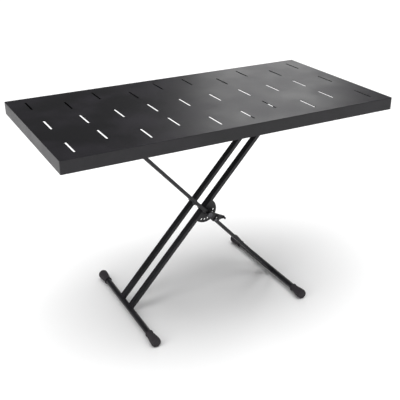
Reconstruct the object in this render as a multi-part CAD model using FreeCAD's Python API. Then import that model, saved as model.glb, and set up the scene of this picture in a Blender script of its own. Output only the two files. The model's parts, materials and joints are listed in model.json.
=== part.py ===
"""Slotted tray-topped pedalboard on a double-braced, folding X stand.

Frame: origin on the floor under the middle of the board, +X to the right,
-Y towards the player, +Z up.  All lengths are in millimetres.
"""
import FreeCAD
import Part
import os
from math import cos, pi, radians, sin

V = FreeCAD.Vector

# ---- board: folded sheet tray with rows of strap slots ----
BOARD_W = 1200.0          # left to right
BOARD_D = 600.0           # front to back
BOARD_T = 42.0            # height of the down-turned flanges
SHEET = 1.6               # sheet thickness of tray and rails
CORNER_R = 4.0            # rounding of the upright corners
EDGE_R = 1.5              # rounding of the folded top edges
SLOT_COLUMNS = 10
SLOT_LEN = 86.0           # along Y, over the round ends
SLOT_W = 6.5
OUTER_ROW_INSET = 88.0    # from the board's edge to the outer row
INNER_ROW_INSET = 142.0   # from the board's edge to the staggered row
OUTER_COLUMNS = (0, 2, 4, 5, 7, 9)
RAIL_LIP = 112.0          # width of the front and rear rails' floor
SIDE_LIP = 58.0           # width of the side rails' floor
RAIL_UPSTAND = 14.0       # stiffening fold along each rail's inner edge
RAIL_LAP = 40.0           # how far a side rail laps over a long rail
SCREW_R = 2.5
SCREW_HEAD_R = 4.8
SCREW_HEAD_H = 2.6
NUT_R = 4.6
NUT_H = 4.0

# ---- stand: legs, arms and feet ----
LEG_ANGLE = 47.8          # degrees above the floor
LEG_UP = 477.0            # pivot to arm axis
LEG_DOWN = 460.0          # pivot to foot axis
LEG_DEPTH = 26.0          # leg section along Y
LEG_THICK = 12.0          # leg section across the leg
LEG_WALL = 1.5
LEG_GAP = 11.0            # gap between neighbouring legs
ARM_R = 12.0
FOOT_R = 11.0
TUBE_WALL = 1.5
ARM_TIP_INSET = 88.0      # board edge to the arm's rubber tip
FOOT_HALF = 258.0         # middle to the foot's rubber tip
CAP_LEN = 65.0
CAP_END = 8.0             # rubber beyond the tube's end
CAP_ROUND = 9.0           # rounding between the widest ring and the end face
ARM_CAP_R = 17.0
FOOT_CAP_R = 18.0
CAP_MOUTH = 2.4           # rubber thickness at the mouth
CAP_LIP = 1.2             # extra radius of the rolled lip at the mouth

# ---- hub: pivot bolt, lock plate, lock pin and release lever ----
BOLT_R = 5.0
BOLT_HEAD_H = 6.4
BOLT_FLATS = 17.0
WASHER_R = 10.0
WASHER_T = 2.0
SPACER_R = 9.0
PLATE_R = 48.0
PLATE_T = 5.0
LOCK_CIRCLE_R = 36.5
LOCK_HOLE_R = 4.0
LOCK_STEP = 21.0          # degrees of fold between lock holes
LOCK_STEPS = (-2, -1, 0, 1, 2, 3)
PIN_TIP_R = 3.7
PIN_SHANK_R = 2.5
PIN_SHOULDER = 9.0        # shoulder in front of the leg's rear wall
PIN_HEAD_R = 5.5
PIN_HEAD_T = 3.0
PIN_TRAVEL = 5.0
LEVER_T = 2.5
LEVER_SQUEEZE = 18.0      # degrees
LEVER_ANGLE = -25.0       # handle direction at rest
LEVER_HUB_R = 11.5
HANDLE_REACH = 70.0       # bolt axis to the tip of the handle
LIP_H = 10.0              # upturned lip at the handle's tip
SPRING_R = 3.45           # mean radius of the coil
SPRING_WIRE_R = 0.5
SPRING_TURNS = 6

# ---- clearances ----
RUN = 0.05                # radial, shaft in a running hole
GAP = 0.3                 # between faces that move past each other

# ---- places worked out from the sizes above ----
TURN = radians(LEG_ANGLE)
PIVOT_Z = FOOT_CAP_R + LEG_DOWN * sin(TURN)
ARM_X = LEG_UP * cos(TURN)
ARM_Z = PIVOT_Z + LEG_UP * sin(TURN)
FOOT_X = LEG_DOWN * cos(TURN)
FOOT_Z = FOOT_CAP_R
ARM_HALF = BOARD_D / 2 - ARM_TIP_INSET
BOARD_Z = ARM_Z + ARM_CAP_R + GAP
LEG_PITCH = LEG_DEPTH + LEG_GAP
LEG_Y = [LEG_PITCH * (i - 1.5) for i in range(4)]
B_FRONT_Y, A_FRONT_Y, B_REAR_Y, A_REAR_Y = LEG_Y
B_FACE_Y = B_FRONT_Y - LEG_DEPTH / 2
LEVER_FACE_Y = B_FACE_Y - GAP - LEVER_T
PLATE_Y = A_FRONT_Y - LEG_DEPTH / 2 - PLATE_T
RAMP_SLOPE = PIN_TRAVEL / (LOCK_CIRCLE_R * radians(LEVER_SQUEEZE))
PIN_HEAD_Y = LEVER_FACE_Y - RAMP_SLOPE * PIN_HEAD_R - GAP
PIN_TIP_Y = PLATE_Y - GAP
SHOULDER_Y = B_FRONT_Y + LEG_DEPTH / 2 - LEG_WALL - PIN_SHOULDER


def box(x0, x1, y0, y1, z0, z1):
    """Box between two corners."""
    return Part.makeBox(x1 - x0, y1 - y0, z1 - z0, V(x0, y0, z0))


def rod_y(radius, y0, y1, x=0.0, z=0.0):
    """Round bar parallel to Y."""
    return Part.makeCylinder(radius, y1 - y0, V(x, y0, z), V(0, 1, 0))


def ring_y(outer, inner, y0, y1, x=0.0, z=0.0):
    """Tube or washer parallel to Y."""
    return rod_y(outer, y0, y1, x, z).cut(rod_y(inner, y0 - 1, y1 + 1, x, z))


def to_pivot(shape, angle):
    """Turn a hub part so that its +X points along angle, and lift it to the pivot."""
    placed = shape.copy()
    placed.rotate(V(0, 0, 0), V(0, 1, 0), -angle)
    placed.translate(V(0, 0, PIVOT_Z))
    return placed


def hexagon_y(flats, y0, y1):
    """Hexagonal prism parallel to Y."""
    r = flats / 2 / cos(pi / 6)
    points = [V(r * cos(i * pi / 3), y0, r * sin(i * pi / 3)) for i in range(7)]
    return Part.Face(Part.makePolygon(points)).extrude(V(0, y1 - y0, 0))


# ---------------------------------------------------------------- board


def slot_centres():
    """Centres of the strap slots: a full middle row, and staggered outer rows."""
    pitch = BOARD_W / SLOT_COLUMNS
    centres = []
    for column in range(SLOT_COLUMNS):
        x = (column - (SLOT_COLUMNS - 1) / 2) * pitch
        inset = OUTER_ROW_INSET if column in OUTER_COLUMNS else INNER_ROW_INSET
        row = BOARD_D / 2 - inset
        centres += [(x, -row), (x, 0.0), (x, row)]
    return centres


def slot_cutter(x, y):
    """Round-ended slot along Y through the top sheet."""
    top = BOARD_Z + BOARD_T
    half = (SLOT_LEN - SLOT_W) / 2
    cutter = box(x - SLOT_W / 2, x + SLOT_W / 2, y - half, y + half, top - 2 * SHEET, top + 1)
    for end in (y - half, y + half):
        cutter = cutter.fuse(Part.makeCylinder(SLOT_W / 2, 2 * SHEET + 1, V(x, end, top - 2 * SHEET)))
    return cutter.removeSplitter()


def board_top():
    """Folded tray: top sheet and four down-turned flanges."""
    hw, hd, top = BOARD_W / 2, BOARD_D / 2, BOARD_Z + BOARD_T
    shell = box(-hw, hw, -hd, hd, BOARD_Z, top)
    upright = [e for e in shell.Edges if abs(e.tangentAt(0).z) > 0.9]
    shell = shell.makeFillet(CORNER_R, upright)
    rim = [e for e in shell.Edges if e.BoundBox.ZMin > top - 0.01]
    shell = shell.makeFillet(EDGE_R, rim)
    hollow = box(-hw + SHEET, hw - SHEET, -hd + SHEET, hd - SHEET, BOARD_Z - 1, top - SHEET)
    inner = [e for e in hollow.Edges if abs(e.tangentAt(0).z) > 0.9]
    shell = shell.cut(hollow.makeFillet(CORNER_R - SHEET, inner))
    cutters = [slot_cutter(x, y) for x, y in slot_centres()]
    return shell.cut(Part.makeCompound(cutters))


def channel(length, lip, height, lift):
    """Rail section along X: web at y = 0, floor towards +Y, short upstand at its edge."""
    floor = box(-length / 2, length / 2, 0, lip, lift, lift + SHEET)
    web = box(-length / 2, length / 2, 0, SHEET, lift, height)
    fold = box(-length / 2, length / 2, lip - SHEET, lip, lift, lift + RAIL_UPSTAND)
    return floor.fuse([web, fold]).removeSplitter()


def corner_places():
    """Screw places where the side rails lap over the long rails."""
    x = BOARD_W / 2 - SHEET - SIDE_LIP / 2
    y_edge = BOARD_D / 2 - RAIL_LIP
    places = []
    for sx in (-1, 1):
        for sy in (-1, 1):
            for step in (0.35, 0.75):
                places.append((sx * x, sy * (y_edge + SHEET + step * RAIL_LAP)))
    return places


def screw_holes():
    """Drills for the lap screws."""
    height = 3 * SHEET + 2
    return Part.makeCompound([Part.makeCylinder(SCREW_R, height, V(x, y, BOARD_Z - 1))
                              for x, y in corner_places()])


def long_rail(side):
    """Front (side -1) or rear (side +1) rail, seated inside the flanges."""
    rail = channel(BOARD_W - 2 * CORNER_R, RAIL_LIP - SHEET, BOARD_T - SHEET, 0)
    rail.translate(V(0, -BOARD_D / 2 + SHEET, BOARD_Z))
    notch_w = SIDE_LIP + 2 * SHEET
    for sx in (-1, 1):
        x_in = sx * (BOARD_W / 2 - notch_w)
        x_out = sx * BOARD_W / 2
        y_edge = -BOARD_D / 2 + RAIL_LIP
        rail = rail.cut(box(min(x_in, x_out), max(x_in, x_out), y_edge - SHEET, y_edge + 1,
                            BOARD_Z + SHEET, BOARD_Z + BOARD_T))
    if side > 0:
        rail.rotate(V(0, 0, 0), V(0, 0, 1), 180)
    return rail.cut(screw_holes())


def side_rail(side):
    """Left (side -1) or right (side +1) rail, lapped on the long rails' floors."""
    length = BOARD_D - 2 * RAIL_LIP + 2 * (RAIL_LAP + SHEET)
    rail = channel(length, SIDE_LIP, BOARD_T - SHEET, SHEET)
    rail.rotate(V(0, 0, 0), V(0, 0, 1), -90)
    rail.translate(V(-BOARD_W / 2 + SHEET, 0, BOARD_Z))
    if side > 0:
        rail.rotate(V(0, 0, 0), V(0, 0, 1), 180)
    return rail.cut(screw_holes())


def lap_screws():
    """Button-head screws through the lapped floors, heads below."""
    screws = []
    for x, y in corner_places():
        shank = Part.makeCylinder(SCREW_R, 2 * SHEET + NUT_H + 1, V(x, y, BOARD_Z))
        head = Part.makeCone(SCREW_HEAD_R * 0.6, SCREW_HEAD_R, SCREW_HEAD_H,
                             V(x, y, BOARD_Z - SCREW_HEAD_H))
        screws.append(shank.fuse(head))
    return Part.makeCompound(screws)


def lap_nuts():
    """Hexagon nuts on the lap screws, inside the tray."""
    nuts = []
    for x, y in corner_places():
        corners = [V(x + NUT_R * cos(i * pi / 3), y + NUT_R * sin(i * pi / 3), BOARD_Z + 2 * SHEET)
                   for i in range(7)]
        nut = Part.Face(Part.makePolygon(corners)).extrude(V(0, 0, NUT_H))
        nuts.append(nut.cut(Part.makeCylinder(SCREW_R, NUT_H + 2, V(x, y, BOARD_Z + SHEET))))
    return Part.makeCompound(nuts)


# ---------------------------------------------------------------- stand


def cross_tube(x, z, radius, tip):
    """Arm or foot: round tube along Y that ends inside its rubber caps."""
    end = tip - CAP_END - GAP
    return ring_y(radius, radius - TUBE_WALL, -end, end, x, z)


def rubber_cap(x, z, tube_r, cap_r, tip, side):
    """Bell-shaped cap: rolled lip at the mouth, swelling to a rounded closed end."""
    mouth_r = tube_r + CAP_MOUTH
    lip_r = mouth_r + CAP_LIP
    swell = CAP_LEN - CAP_ROUND
    quarter = CAP_ROUND * cos(pi / 4)
    outline = [
        Part.LineSegment(V(0, 0, 0), V(lip_r, 0, 0)).toShape(),
        Part.Arc(V(lip_r, 0, 0), V(lip_r + CAP_LIP * 0.4, CAP_LIP * 1.5, 0),
                 V(lip_r, CAP_LIP * 3, 0)).toShape(),
        Part.LineSegment(V(lip_r, CAP_LIP * 3, 0), V(mouth_r, CAP_LIP * 3.6, 0)).toShape(),
        Part.Arc(V(mouth_r, CAP_LIP * 3.6, 0),
                 V(mouth_r + (cap_r - mouth_r) * 0.35, swell * 0.55, 0),
                 V(cap_r, swell, 0)).toShape(),
        Part.Arc(V(cap_r, swell, 0), V(cap_r - CAP_ROUND + quarter, swell + quarter, 0),
                 V(cap_r - CAP_ROUND, CAP_LEN, 0)).toShape(),
        Part.LineSegment(V(cap_r - CAP_ROUND, CAP_LEN, 0), V(0, CAP_LEN, 0)).toShape(),
        Part.LineSegment(V(0, CAP_LEN, 0), V(0, 0, 0)).toShape(),
    ]
    cap = Part.Face(Part.Wire(outline)).revolve(V(0, 0, 0), V(0, 1, 0), 360)
    cap = cap.cut(rod_y(tube_r + RUN, -1, CAP_LEN - CAP_END))
    cap.translate(V(0, tip - CAP_LEN, 0))
    if side < 0:
        cap.rotate(V(0, 0, 0), V(0, 0, 1), 180)
    cap.translate(V(x, 0, z))
    return cap


def leg(y, arm_side):
    """Rectangular leg through the pivot, coped onto its arm and its foot."""
    y0, y1 = y - LEG_DEPTH / 2, y + LEG_DEPTH / 2
    half = LEG_THICK / 2
    outer = box(-LEG_DOWN, LEG_UP, y0, y1, -half, half)
    inner = box(-LEG_DOWN, LEG_UP, y0 + LEG_WALL, y1 - LEG_WALL, -half + LEG_WALL, half - LEG_WALL)
    tube = outer.cut(inner)
    tube = tube.cut(rod_y(ARM_R, y0 - 1, y1 + 1, LEG_UP, 0))
    tube = tube.cut(rod_y(FOOT_R, y0 - 1, y1 + 1, -LEG_DOWN, 0))
    tube = tube.cut(rod_y(BOLT_R + RUN, y0 - 1, y1 + 1))
    return to_pivot(tube, LEG_ANGLE if arm_side > 0 else 180 - LEG_ANGLE)


def frame_b_front_leg():
    """Front leg of the left-arm frame, drilled for the lock pin."""
    hole_x = LOCK_CIRCLE_R
    drill = rod_y(PIN_SHANK_R + RUN, B_FACE_Y - 1, B_FRONT_Y, hole_x, 0)
    wide = rod_y(PIN_TIP_R + RUN, B_FRONT_Y, B_FRONT_Y + LEG_DEPTH / 2 + 1, hole_x, 0)
    return leg(B_FRONT_Y, -1).cut(to_pivot(drill, -LEG_ANGLE)).cut(to_pivot(wide, -LEG_ANGLE))


# ---------------------------------------------------------------- hub


def lock_plate():
    """Half-disc on the right-arm frame's front leg, with one hole per height."""
    disc = rod_y(PLATE_R, PLATE_Y, PLATE_Y + PLATE_T)
    disc = disc.cut(box(-PLATE_R, PLATE_R, PLATE_Y - 1, PLATE_Y + PLATE_T + 1,
                        LEG_THICK / 2, PLATE_R + 1))
    disc = disc.cut(rod_y(BOLT_R + RUN, PLATE_Y - 1, PLATE_Y + PLATE_T + 1))
    for step in LOCK_STEPS:
        angle = radians(-2 * LEG_ANGLE - step * LOCK_STEP)
        disc = disc.cut(rod_y(LOCK_HOLE_R, PLATE_Y - 1, PLATE_Y + PLATE_T + 1,
                              LOCK_CIRCLE_R * cos(angle), LOCK_CIRCLE_R * sin(angle)))
    return to_pivot(disc, LEG_ANGLE)


def hub_ring(outer, y0, y1):
    """Washer or spacer on the pivot bolt."""
    return to_pivot(ring_y(outer, BOLT_R, y0, y1), 0)


def pivot_bolt():
    """Long hexagon-head bolt through all four legs."""
    seat = LEVER_FACE_Y - GAP - WASHER_T
    end = A_REAR_Y + LEG_DEPTH / 2 + WASHER_T + BOLT_HEAD_H + 3
    bolt = rod_y(BOLT_R, seat, end).fuse(hexagon_y(BOLT_FLATS, seat - BOLT_HEAD_H, seat))
    return to_pivot(bolt, 0)


def front_washer():
    """Washer under the bolt head, in front of the release lever."""
    return hub_ring(WASHER_R, LEVER_FACE_Y - GAP - WASHER_T, LEVER_FACE_Y - GAP)


def front_spacer():
    """Spacer between the front leg and the lock plate."""
    return hub_ring(SPACER_R, B_FRONT_Y + LEG_DEPTH / 2 + GAP, PLATE_Y)


def middle_spacer():
    """Spacer between the inner pair of legs."""
    return hub_ring(SPACER_R, A_FRONT_Y + LEG_DEPTH / 2, B_REAR_Y - LEG_DEPTH / 2 - GAP)


def rear_spacer():
    """Spacer between the rear pair of legs."""
    return hub_ring(SPACER_R, B_REAR_Y + LEG_DEPTH / 2 + GAP, A_REAR_Y - LEG_DEPTH / 2)


def rear_washer():
    """Washer under the lock nut."""
    y0 = A_REAR_Y + LEG_DEPTH / 2
    return hub_ring(WASHER_R, y0, y0 + WASHER_T)


def pivot_nut():
    """Hexagon lock nut with a round collar."""
    y0 = A_REAR_Y + LEG_DEPTH / 2 + WASHER_T
    nut = hexagon_y(BOLT_FLATS, y0, y0 + BOLT_HEAD_H)
    collar = rod_y(BOLT_FLATS * 0.42, y0, y0 + BOLT_HEAD_H + 2)
    return to_pivot(nut.fuse(collar).cut(rod_y(BOLT_R, y0 - 1, y0 + BOLT_HEAD_H + 5)), 0)


def lever_ramp(pin_angle):
    """Wedge beside the slot that lifts the pin's head as the lever turns."""
    reach = LOCK_CIRCLE_R * radians(LEVER_SQUEEZE) + PIN_HEAD_R
    r0, r1 = LOCK_CIRCLE_R - PIN_HEAD_R - 1, LOCK_CIRCLE_R + PIN_HEAD_R + 1
    profile = [V(r0, LEVER_FACE_Y, 0), V(r0, LEVER_FACE_Y, reach),
               V(r0, LEVER_FACE_Y - RAMP_SLOPE * reach, reach), V(r0, LEVER_FACE_Y, 0)]
    ramp = Part.Face(Part.makePolygon(profile)).extrude(V(r1 - r0, 0, 0))
    ramp.rotate(V(0, 0, 0), V(0, 1, 0), -pin_angle)
    return ramp


def release_lever():
    """Stamped lever on the pivot bolt: hub ring, blade, ramp, handle and upturned lip."""
    y0, y1 = LEVER_FACE_Y, LEVER_FACE_Y + LEVER_T
    pin_angle = -LEG_ANGLE - LEVER_ANGLE
    swing = LOCK_CIRCLE_R + PIN_HEAD_R
    outline = [V(0, y0, LEVER_HUB_R), V(HANDLE_REACH * 0.6, y0, LEVER_HUB_R * 0.7),
               V(HANDLE_REACH - LEVER_T, y0, LEVER_HUB_R * 0.62), V(HANDLE_REACH, y0, 4),
               V(HANDLE_REACH, y0, -3), V(HANDLE_REACH * 0.84, y0, -LEVER_HUB_R * 0.62),
               V(swing + 2, y0, -swing * 0.5), V(swing * 0.66, y0, -swing * 0.56),
               V(0, y0, -LEVER_HUB_R), V(0, y0, LEVER_HUB_R)]
    blade = Part.Face(Part.makePolygon(outline)).extrude(V(0, LEVER_T, 0))
    lip = box(HANDLE_REACH - LEVER_T, HANDLE_REACH, y0 - LIP_H, y1, -3, 4)
    lever = blade.fuse([rod_y(LEVER_HUB_R, y0, y1), lever_ramp(pin_angle), lip])
    slot_r = PIN_SHANK_R + 2 * GAP
    slot = ring_y(LOCK_CIRCLE_R + slot_r, LOCK_CIRCLE_R - slot_r, y0 - 20, y1 + 1)
    ends = [radians(pin_angle), radians(pin_angle + LEVER_SQUEEZE)]
    far = 2 * LOCK_CIRCLE_R
    rays = [V(far * cos(a), y0 - 20, far * sin(a)) for a in ends]
    sector = Part.Face(Part.makePolygon([V(0, y0 - 20, 0), *rays, V(0, y0 - 20, 0)]))
    slot = slot.common(sector.extrude(V(0, 30, 0)))
    for a in ends:
        slot = slot.fuse(rod_y(slot_r, y0 - 20, y1 + 1, LOCK_CIRCLE_R * cos(a), LOCK_CIRCLE_R * sin(a)))
    lever = lever.cut(slot).cut(rod_y(BOLT_R + RUN, y0 - 1, y1 + 1))
    return to_pivot(lever.removeSplitter(), LEVER_ANGLE)


def lock_pin():
    """Stepped pin: head, slim shank through the spring, thick tip towards the plate."""
    head = rod_y(PIN_HEAD_R, PIN_HEAD_Y - PIN_HEAD_T, PIN_HEAD_Y)
    shank = rod_y(PIN_SHANK_R, PIN_HEAD_Y, SHOULDER_Y)
    tip = rod_y(PIN_TIP_R, SHOULDER_Y, PIN_TIP_Y)
    pin = head.fuse([shank, tip])
    pin.translate(V(LOCK_CIRCLE_R, 0, 0))
    return to_pivot(pin, -LEG_ANGLE)


def lock_spring():
    """Coil inside the leg that pushes the pin towards the plate."""
    y0 = B_FACE_Y + LEG_WALL + SPRING_WIRE_R
    height = SHOULDER_Y - SPRING_WIRE_R - y0
    helix = Part.makeHelix(height / SPRING_TURNS, height, SPRING_R)
    section = Part.Wire(Part.makeCircle(SPRING_WIRE_R, V(SPRING_R, 0, 0), V(0, 1, 0)))
    coil = Part.Wire(helix.Edges).makePipeShell([section], True, True)
    coil.rotate(V(0, 0, 0), V(1, 0, 0), -90)
    coil.translate(V(LOCK_CIRCLE_R, y0, 0))
    return to_pivot(coil, -LEG_ANGLE)


def nodes():
    """Every sub-part of the object by name."""
    made = {
        "board_top": board_top(),
        "front_rail": long_rail(-1),
        "rear_rail": long_rail(1),
        "left_rail": side_rail(-1),
        "right_rail": side_rail(1),
        "lap_screws": lap_screws(),
        "lap_nuts": lap_nuts(),
        "left_arm_tube": cross_tube(-ARM_X, ARM_Z, ARM_R, ARM_HALF),
        "right_arm_tube": cross_tube(ARM_X, ARM_Z, ARM_R, ARM_HALF),
        "left_foot_tube": cross_tube(-FOOT_X, FOOT_Z, FOOT_R, FOOT_HALF),
        "right_foot_tube": cross_tube(FOOT_X, FOOT_Z, FOOT_R, FOOT_HALF),
        "frame_a_front_leg": leg(A_FRONT_Y, 1),
        "frame_a_rear_leg": leg(A_REAR_Y, 1),
        "frame_b_front_leg": frame_b_front_leg(),
        "frame_b_rear_leg": leg(B_REAR_Y, -1),
        "lock_plate": lock_plate(),
        "pivot_bolt": pivot_bolt(),
        "front_washer": front_washer(),
        "front_spacer": front_spacer(),
        "middle_spacer": middle_spacer(),
        "rear_spacer": rear_spacer(),
        "rear_washer": rear_washer(),
        "pivot_nut": pivot_nut(),
        "release_lever": release_lever(),
        "lock_pin": lock_pin(),
        "lock_spring": lock_spring(),
    }
    for name, sx in (("left", -1), ("right", 1)):
        for place, sy in (("front", -1), ("rear", 1)):
            made[f"{name}_arm_{place}_cap"] = rubber_cap(sx * ARM_X, ARM_Z, ARM_R, ARM_CAP_R,
                                                         ARM_HALF, sy)
            made[f"{name}_foot_{place}_cap"] = rubber_cap(sx * FOOT_X, FOOT_Z, FOOT_R, FOOT_CAP_R,
                                                          FOOT_HALF, sy)
    return made


def main():
    """Write one STEP file per sub-part."""
    os.makedirs("parts", exist_ok=True)
    for name, shape in nodes().items():
        shape.exportStep(f"parts/{name}.step")


if __name__ == "__main__":
    main()
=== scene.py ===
import json
import bpy
import numpy as np
from bpy.props import FloatProperty, FloatVectorProperty, PointerProperty
from math import cos, radians, sin
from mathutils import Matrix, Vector


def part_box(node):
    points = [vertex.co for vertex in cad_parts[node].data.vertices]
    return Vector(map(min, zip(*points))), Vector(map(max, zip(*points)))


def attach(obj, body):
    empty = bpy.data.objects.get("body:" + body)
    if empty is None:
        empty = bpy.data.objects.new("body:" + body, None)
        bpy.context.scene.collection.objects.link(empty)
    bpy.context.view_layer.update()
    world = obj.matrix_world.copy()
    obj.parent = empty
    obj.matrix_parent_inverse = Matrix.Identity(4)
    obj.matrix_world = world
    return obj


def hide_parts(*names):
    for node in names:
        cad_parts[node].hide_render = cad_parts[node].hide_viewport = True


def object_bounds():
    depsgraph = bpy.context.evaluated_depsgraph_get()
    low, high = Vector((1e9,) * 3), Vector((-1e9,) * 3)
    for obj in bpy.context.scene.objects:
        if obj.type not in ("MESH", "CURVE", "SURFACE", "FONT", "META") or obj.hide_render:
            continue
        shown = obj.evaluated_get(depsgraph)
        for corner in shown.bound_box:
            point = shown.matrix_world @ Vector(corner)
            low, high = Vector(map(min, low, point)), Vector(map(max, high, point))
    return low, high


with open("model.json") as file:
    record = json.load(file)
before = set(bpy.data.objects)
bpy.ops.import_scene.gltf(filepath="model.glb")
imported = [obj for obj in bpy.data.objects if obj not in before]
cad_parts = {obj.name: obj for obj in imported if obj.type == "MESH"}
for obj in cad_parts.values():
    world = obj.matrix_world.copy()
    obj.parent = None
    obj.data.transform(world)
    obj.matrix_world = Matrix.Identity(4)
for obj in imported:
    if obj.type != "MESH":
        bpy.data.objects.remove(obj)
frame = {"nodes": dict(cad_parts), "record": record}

bl_info = {
    "name": "Pedalboard on X Stand",
    "version": (1, 0, 0),
    "blender": (4, 5, 0),
    "location": "View3D > Sidebar > Pedalboard",
    "description": "Finishes, rubber caps, weld beads and studio for the pedalboard on its stand",
    "category": "Object",
}

CAD_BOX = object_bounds()
SLOTS = {part["node"]: part["material_slot"] for part in frame["record"]["subparts"]}
JOINTS = {joint["name"]: joint for joint in frame["record"]["behaviour"]["joints"]}
MM = 0.001
LEG_THICK = 12 * MM       # leg section across the leg, as built
FLOOR_HALF = 15.0         # half the side of the studio floor


# ------------------------------------------------------------ node expressions


class Sock:
    """A node output that takes part in Python arithmetic."""

    def __init__(self, graph, out):
        self.graph = graph
        self.out = out

    def math(self, operation, other=0.0, swap=False):
        """One Math node on this value and another."""
        pair = (other, self) if swap else (self, other)
        return self.graph.node("ShaderNodeMath", {0: pair[0], 1: pair[1]}, operation=operation)

    def __add__(self, other):
        return self.math("ADD", other)

    def __mul__(self, other):
        return self.math("MULTIPLY", other)

    def __sub__(self, other):
        return self.math("SUBTRACT", other)

    def __rsub__(self, other):
        return self.math("SUBTRACT", other, swap=True)

    __radd__ = __add__
    __rmul__ = __mul__

    def ramp(self, low, high):
        """0 below low, 1 above high, smooth between."""
        return self.graph.node("ShaderNodeMapRange", {"Value": self, "From Min": low, "From Max": high},
                               interpolation_type="SMOOTHSTEP")

    def between(self, dark, light):
        """Mix of two colours by this value."""
        return self.graph.node("ShaderNodeMix", {0: self, 6: dark, 7: light}, output=2, data_type="RGBA")


class Graph:
    """A material's node tree, with one method that adds any node."""

    def __init__(self, name):
        self.material = bpy.data.materials.new(name)
        self.material.use_nodes = True
        self.tree = self.material.node_tree
        self.shader = self.tree.nodes["Principled BSDF"]
        self.place = self.node("ShaderNodeTexCoord", output="Object")

    def link(self, value, socket):
        """Joins a Sock, or writes a plain value on the socket itself."""
        if isinstance(value, Sock):
            self.tree.links.new(value.out, socket)
        else:
            socket.default_value = value

    def node(self, kind, inputs=None, output=0, **settings):
        """Adds a node with its settings and inputs, and returns one output."""
        made = self.tree.nodes.new(kind)
        for key, value in settings.items():
            setattr(made, key, value)
        for key, value in (inputs or {}).items():
            self.link(value, made.inputs[key])
        return Sock(self, made.outputs[output])

    def noise(self, scale, detail=3.0, stretch=(1.0, 1.0, 1.0)):
        """Noise on object coordinates, scale in cells per metre."""
        place = self.node("ShaderNodeVectorMath", {0: self.place, 1: stretch}, operation="MULTIPLY")
        return self.node("ShaderNodeTexNoise", {"Vector": place, "Scale": scale, "Detail": detail})

    def bump(self, height, distance, strength=1.0):
        """Normal from a height, distance in metres."""
        return self.node("ShaderNodeBump", {"Height": height, "Distance": distance, "Strength": strength})

    def finish(self, **values):
        """Sets the shader's sockets by name, with underscores for spaces."""
        for key, value in values.items():
            self.link(value, self.shader.inputs[key.replace("_", " ")])
        return self.material


def powder_coat(name, dark, light, rough):
    """Satin powder coat: orange-peel skin, faint cloudy sheen and fine dust flecks."""
    g = Graph(name)
    clouds = g.noise(7.0, 4.0)
    peel = g.noise(1100.0, 2.0)
    fleck = g.noise(420.0, 5.0).ramp(0.66, 0.74)
    tone = clouds.ramp(0.35, 0.7) * 0.6 + peel.ramp(0.4, 0.7) * 0.15 + fleck * 0.5
    skin = clouds.ramp(0.3, 0.7) * 0.08 + peel * 0.06 + (rough - 0.07)
    return g.finish(Base_Color=tone.between(dark, light), Roughness=skin, Specular_IOR_Level=0.36,
                    Normal=g.bump(peel, 0.00012, 0.5))


def moulded_rubber(name, dark, light):
    """Moulded rubber: matt grain with chalky bloom."""
    g = Graph(name)
    grain = g.noise(900.0, 4.0)
    bloom = g.noise(60.0, 5.0)
    tone = bloom.ramp(0.4, 0.72) * 0.7 + grain.ramp(0.45, 0.7) * 0.25
    return g.finish(Base_Color=tone.between(dark, light), Roughness=bloom * 0.12 + 0.5,
                    Specular_IOR_Level=0.4, Normal=g.bump(grain, 0.00025, 0.6))


def plated_steel(name, dark, light, rough):
    """Plated steel: turned streaks, stains and a varying sheen."""
    g = Graph(name)
    streak = g.noise(700.0, 3.0, (1.0, 0.08, 1.0))
    stain = g.noise(90.0, 4.0)
    tone = stain.ramp(0.35, 0.7) * 0.6 + streak * 0.4
    return g.finish(Base_Color=tone.between(dark, light), Metallic=1.0,
                    Roughness=streak * 0.15 + (rough - 0.07), Normal=g.bump(streak, 0.00004, 0.6))


def pale_floor(name, colour):
    """Studio floor: even pale sheet with a trace of unevenness."""
    g = Graph(name)
    patch = g.noise(1.3, 2.0)
    darker = tuple(0.985 * c for c in colour[:3]) + (1.0,)
    return g.finish(Base_Color=patch.between(darker, colour), Roughness=0.9, Specular_IOR_Level=0.1)


# ------------------------------------------------------------ surfaces


def grid_mesh(name, points, close_u=False, close_v=False):
    """Quads over a grid of points with shape (rows, columns, 3)."""
    rows, cols = points.shape[:2]
    i = np.arange(rows if close_u else rows - 1)[:, None]
    j = np.arange(cols if close_v else cols - 1)[None, :]
    i2, j2 = (i + 1) % rows, (j + 1) % cols
    quads = np.stack([i * cols + j, i * cols + j2, i2 * cols + j2, i2 * cols + j], -1).reshape(-1, 4)
    mesh = bpy.data.meshes.new(name)
    mesh.from_pydata(points.reshape(-1, 3), [], quads)
    mesh.polygons.foreach_set("use_smooth", np.ones(len(quads), bool))
    mesh.update()
    obj = bpy.data.objects.new(name, mesh)
    bpy.context.scene.collection.objects.link(obj)
    return obj


def cap_profile(tube_r, cap_r, length, lip, rounding):
    """Outline of a cap as (distance from mouth, radius).

    A half-round lip at the mouth, a flare that follows a squared sine to the widest ring, a
    quarter circle over the edge, and an end face dished by a shallow cosine.
    """
    mouth_r = tube_r + 2 * lip
    a = np.linspace(-np.pi / 2, np.pi / 2, 13)
    rolled = np.stack([1.5 * lip * (1 + np.sin(a)), mouth_r + 1.3 * lip * np.cos(a)], 1)
    t = np.linspace(0, 1, 40)[1:]
    start, swell = 3.4 * lip, length - rounding
    widening = (cap_r - mouth_r) * np.sin(t * np.pi / 2) ** 2
    flare = np.stack([start + t * (swell - start), mouth_r + widening], 1)
    q = np.linspace(0, np.pi / 2, 17)[1:]
    edge = np.stack([swell + rounding * np.sin(q), cap_r - rounding * (1 - np.cos(q))], 1)
    r = np.linspace(cap_r - rounding, 0, 12)[1:]
    dish = 0.6 * MM * (0.5 + 0.5 * np.cos(np.pi * r / (cap_r - rounding)))
    face = np.stack([length - dish, r], 1)
    inside = np.array([[6 * MM, tube_r], [0.3 * MM, tube_r]])
    return np.concatenate([inside, rolled, flare, edge, face])


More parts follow.
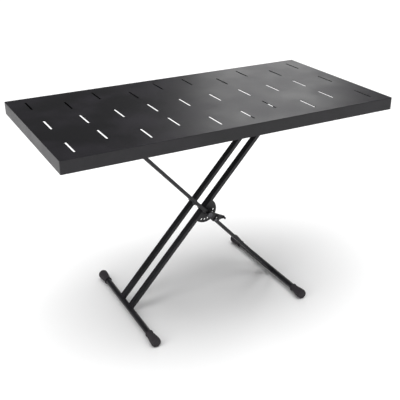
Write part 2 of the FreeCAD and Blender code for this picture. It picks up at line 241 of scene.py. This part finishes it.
def revolved_cap(name, low, high, side, tube_r, settings):
    """Cap as its outline turned about the tube's axis: the outline's distance runs along Y."""
    centre = (low + high) / 2
    length = high.y - low.y
    cap_r = (high.z - low.z) / 2
    outline = cap_profile(tube_r, cap_r, length, settings.lip, settings.rounding)
    turn = np.linspace(0, 2 * np.pi, 64, endpoint=False)[None, :]
    y = (low.y + outline[:, :1]) if side > 0 else (high.y - outline[:, :1])
    x = centre.x + outline[:, 1:] * np.cos(side * turn)
    z = centre.z + outline[:, 1:] * np.sin(side * turn)
    return grid_mesh(name, np.stack(np.broadcast_arrays(x, y, z), -1), close_v=True)


def weld_bead(name, hub, direction, reach, tube_r, y, half, bead):
    """Rippled bead round the end of a leg where it meets a cross tube, drawn on the leg's axes.

    The path is a rounded rectangle (a power of sine and cosine) laid on the tube's cylinder, and
    a small circle whose radius ripples is carried along it.
    """
    t = np.linspace(0, 2 * np.pi, 160, endpoint=False)[:, None]
    ring = np.linspace(0, 2 * np.pi, 12, endpoint=False)[None, :]
    c, s = np.cos(t), np.sin(t)
    py = half[0] * np.sign(c) * np.abs(c) ** 0.3
    pz = half[1] * np.sign(s) * np.abs(s) ** 0.3
    px = reach - np.sqrt(tube_r ** 2 - np.clip(np.abs(pz), 0, 0.95 * tube_r) ** 2)
    radius = bead * (1 + 0.12 * np.sin(36 * t) + 0.05 * np.sin(11 * t + y * 50))
    out = radius * np.cos(ring)
    along = px + 0.6 * radius * np.sin(ring) - 0.3 * bead
    norm = np.hypot(py / half[0], pz / half[1])
    py = py + out * (py / half[0]) / norm
    pz = pz + out * (pz / half[1]) / norm
    dx, dz = direction
    points = np.stack([hub.x + along * dx - pz * dz, y + py, hub.z + along * dz + pz * dx], -1)
    return grid_mesh(name, points, close_u=True, close_v=True)


# ------------------------------------------------------------ settings


class FinishSettings(bpy.types.PropertyGroup):
    """Colours and sheen of the finishes."""
    coat: FloatVectorProperty(name="Coat", description="Darkest tone of the powder coat",
                              default=(0.006, 0.006, 0.007, 1.0), size=4, subtype="COLOR")
    coat_light: FloatVectorProperty(name="Coat light", description="Lightest tone of the powder coat",
                                    default=(0.022, 0.020, 0.025, 1.0), size=4, subtype="COLOR")
    roughness: FloatProperty(name="Roughness", description="Mean roughness of the coat",
                             default=0.40, subtype="FACTOR")


class CapSettings(bpy.types.PropertyGroup):
    """Details of the rubber caps and weld beads."""
    lip: FloatProperty(name="Lip", description="Half thickness of the rolled lip",
                       default=1.2 * MM, unit="LENGTH")
    rounding: FloatProperty(name="Rounding", description="Rounding over the cap's end",
                            default=9 * MM, unit="LENGTH")
    bead: FloatProperty(name="Bead", description="Radius of the weld bead", default=1.7 * MM, unit="LENGTH")


class StageSettings(bpy.types.PropertyGroup):
    """Camera and light."""
    azimuth: FloatProperty(name="Azimuth", description="Camera direction round the object",
                           default=radians(-28.6), subtype="ANGLE")
    elevation: FloatProperty(name="Elevation", description="Camera height angle",
                             default=radians(26.0), subtype="ANGLE")
    distance: FloatProperty(name="Distance", description="Camera to the middle", default=2.5, unit="LENGTH")
    lens: FloatProperty(name="Lens", description="Focal length", default=60.75, unit="CAMERA")
    light: FloatProperty(name="Light", description="Strength of the surrounding light", default=0.12)
    floor_light: FloatProperty(name="Floor light", description="Strength of the even light from above",
                               default=3.2)


# ------------------------------------------------------------ operators


class FinishNodes(bpy.types.Operator):
    """Give every carried-over construction part its finish"""
    bl_idname = "pedalboard.finish_nodes"
    bl_label = "Finish parts"

    def execute(self, context):
        s = context.scene.pedalboard_finish
        finishes = {
            "board_coat": powder_coat("board_coat", s.coat, s.coat_light, s.roughness),
            "frame_coat": powder_coat("frame_coat", s.coat, s.coat_light, s.roughness - 0.06),
            "cap_rubber": moulded_rubber("cap_rubber", (0.008, 0.008, 0.009, 1), (0.03, 0.028, 0.033, 1)),
            "fixings": plated_steel("fixings", (0.05, 0.05, 0.055, 1), (0.14, 0.14, 0.15, 1), 0.38),
            "spring_steel": plated_steel("spring_steel", (0.35, 0.35, 0.36, 1), (0.6, 0.6, 0.62, 1), 0.3),
        }
        for name, obj in frame["nodes"].items():
            obj.data.materials.clear()
            obj.data.materials.append(finishes[SLOTS[name]])
        for name in ("lock_plate", "release_lever", "pivot_bolt", "pivot_nut"):
            bevel = frame["nodes"][name].modifiers.new("edge", "BEVEL")
            bevel.width = 0.4 * MM
            bevel.segments = 2
            bevel.limit_method = "ANGLE"
        return {"FINISHED"}


class MakeCaps(bpy.types.Operator):
    """Model the rubber caps on the arms and feet"""
    bl_idname = "pedalboard.make_caps"
    bl_label = "Rubber caps"

    def execute(self, context):
        settings = context.scene.pedalboard_caps
        rubber = bpy.data.materials["cap_rubber"]
        bodies = {n: body for body, nodes in frame["record"]["behaviour"]["bodies"].items() for n in nodes}
        for name in [n for n in frame["nodes"] if n.endswith("_cap")]:
            part = "arm" if "_arm_" in name else "foot"
            tube_low, tube_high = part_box(f"{name.split('_')[0]}_{part}_tube")
            tube_r = (tube_high.z - tube_low.z) / 2
            low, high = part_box(name)
            side = 1 if low.y > 0 else -1
            cap = revolved_cap(f"rubber_{name}", low, high, side, tube_r, settings)
            cap.data.materials.append(rubber)
            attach(cap, bodies[name])
            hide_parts(name)
        return {"FINISHED"}


class MakeWelds(bpy.types.Operator):
    """Model the weld beads where the legs meet the arms and feet"""
    bl_idname = "pedalboard.make_welds"
    bl_label = "Weld beads"

    def execute(self, context):
        settings = context.scene.pedalboard_caps
        coat = bpy.data.materials["frame_coat"]
        hub = Vector(JOINTS["leg_fold"]["pos_m"])
        for letter, arm_side in (("a", 1), ("b", -1)):
            for place in ("front", "rear"):
                low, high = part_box(f"frame_{letter}_{place}_leg")
                y = (low.y + high.y) / 2
                half = ((high.y - low.y) / 2, LEG_THICK / 2)
                for end in ("arm", "foot"):
                    side = arm_side if end == "arm" else -arm_side
                    word = "right" if side > 0 else "left"
                    t_low, t_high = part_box(f"{word}_{end}_tube")
                    centre = (t_low + t_high) / 2
                    span = Vector((centre.x - hub.x, centre.z - hub.z))
                    way = span.normalized()
                    bead = weld_bead(f"weld_{letter}_{place}_{end}", hub, way, span.length,
                                     (t_high.z - t_low.z) / 2, y, half, settings.bead)
                    bead.data.materials.append(coat)
                    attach(bead, f"frame_{letter}")
        return {"FINISHED"}


def soft_box(name, place, target, size, power):
    """Rectangular lamp that faces the target and isn't seen by the camera."""
    data = bpy.data.lights.new(name, "AREA")
    data.shape = "RECTANGLE"
    data.size, data.size_y = size
    data.energy = power
    lamp = bpy.data.objects.new(name, data)
    lamp.location = place
    lamp.rotation_euler = (Vector(target) - Vector(place)).to_track_quat("-Z", "Y").to_euler()
    lamp.visible_camera = False
    bpy.context.scene.collection.objects.link(lamp)


class MakeStage(bpy.types.Operator):
    """Floor, lights, surroundings and camera"""
    bl_idname = "pedalboard.make_stage"
    bl_label = "Stage"

    def execute(self, context):
        s = context.scene.pedalboard_stage
        scene = context.scene
        low, high = (Vector(corner) for corner in CAD_BOX)
        middle = (low + high) / 2
        span = np.linspace(-FLOOR_HALF, FLOOR_HALF, 31)
        gx, gy = np.meshgrid(span, span, indexing="ij")
        floor = grid_mesh("floor", np.stack([gx, gy, np.full_like(gx, low.z)], -1))
        floor.data.flip_normals()
        floor.data.materials.append(pale_floor("floor", (0.96, 0.96, 0.96, 1.0)))
        soft_box("back_panel", (2.4, 3.0, 2.3), (0.5, 0, 0.7), (1.3, 1.5), 16)
        soft_box("left_panel", (-2.6, -0.8, 1.8), middle, (1.2, 2.2), 30)
        soft_box("front_panel", (1.6, -2.8, 2.4), middle, (1.6, 1.6), 16)
        sun = bpy.data.lights.new("overcast", "SUN")
        sun.energy = s.floor_light
        sun.angle = radians(70)
        overcast = bpy.data.objects.new("overcast", sun)
        overcast.visible_glossy = False
        scene.collection.objects.link(overcast)
        world = scene.world or bpy.data.worlds.new("studio")
        scene.world = world
        world.use_nodes = True
        tree = world.node_tree
        sky = tree.nodes["Background"]
        sky.inputs["Color"].default_value = (1, 1, 1, 1)
        path = tree.nodes.new("ShaderNodeLightPath")
        blend = tree.nodes.new("ShaderNodeMapRange")
        blend.inputs["To Min"].default_value = s.light
        blend.inputs["To Max"].default_value = 1.0
        tree.links.new(path.outputs["Is Camera Ray"], blend.inputs["Value"])
        tree.links.new(blend.outputs["Result"], sky.inputs["Strength"])
        level = cos(s.elevation)
        back = Vector((sin(s.azimuth) * level, -cos(s.azimuth) * level, sin(s.elevation)))
        data = bpy.data.cameras.new("camera")
        data.lens = s.lens
        data.sensor_width = 36.0
        camera = bpy.data.objects.new("camera", data)
        camera.location = middle + back * s.distance
        camera.rotation_euler = back.to_track_quat("Z", "Y").to_euler()
        scene.collection.objects.link(camera)
        scene.camera = camera
        scene.view_settings.view_transform = "Standard"
        return {"FINISHED"}


class PedalboardPanel(bpy.types.Panel):
    """Sidebar list of the builders"""
    bl_idname = "VIEW3D_PT_pedalboard"
    bl_label = "Pedalboard"
    bl_space_type = "VIEW_3D"
    bl_region_type = "UI"
    bl_category = "Pedalboard"

    def draw(self, context):
        for operator in OPERATORS:
            self.layout.operator(operator.bl_idname)
        for group in (context.scene.pedalboard_finish, context.scene.pedalboard_caps,
                      context.scene.pedalboard_stage):
            for key in group.__annotations__:
                self.layout.prop(group, key)


SETTINGS = {"pedalboard_finish": FinishSettings, "pedalboard_caps": CapSettings,
            "pedalboard_stage": StageSettings}
OPERATORS = (FinishNodes, MakeCaps, MakeWelds, MakeStage)


def register():
    """Register settings, operators and the panel."""
    for name, group in SETTINGS.items():
        bpy.utils.register_class(group)
        setattr(bpy.types.Scene, name, PointerProperty(type=group))
    for item in (*OPERATORS, PedalboardPanel):
        bpy.utils.register_class(item)


def unregister():
    """Undo register."""
    for item in (PedalboardPanel, *reversed(OPERATORS)):
        bpy.utils.unregister_class(item)
    for name, group in SETTINGS.items():
        delattr(bpy.types.Scene, name)
        bpy.utils.unregister_class(group)


def main():
    """Build every piece and the stage."""
    register()
    bpy.ops.pedalboard.finish_nodes()
    bpy.ops.pedalboard.make_caps()
    bpy.ops.pedalboard.make_welds()
    bpy.ops.pedalboard.make_stage()


if __name__ == "__main__":
    main()
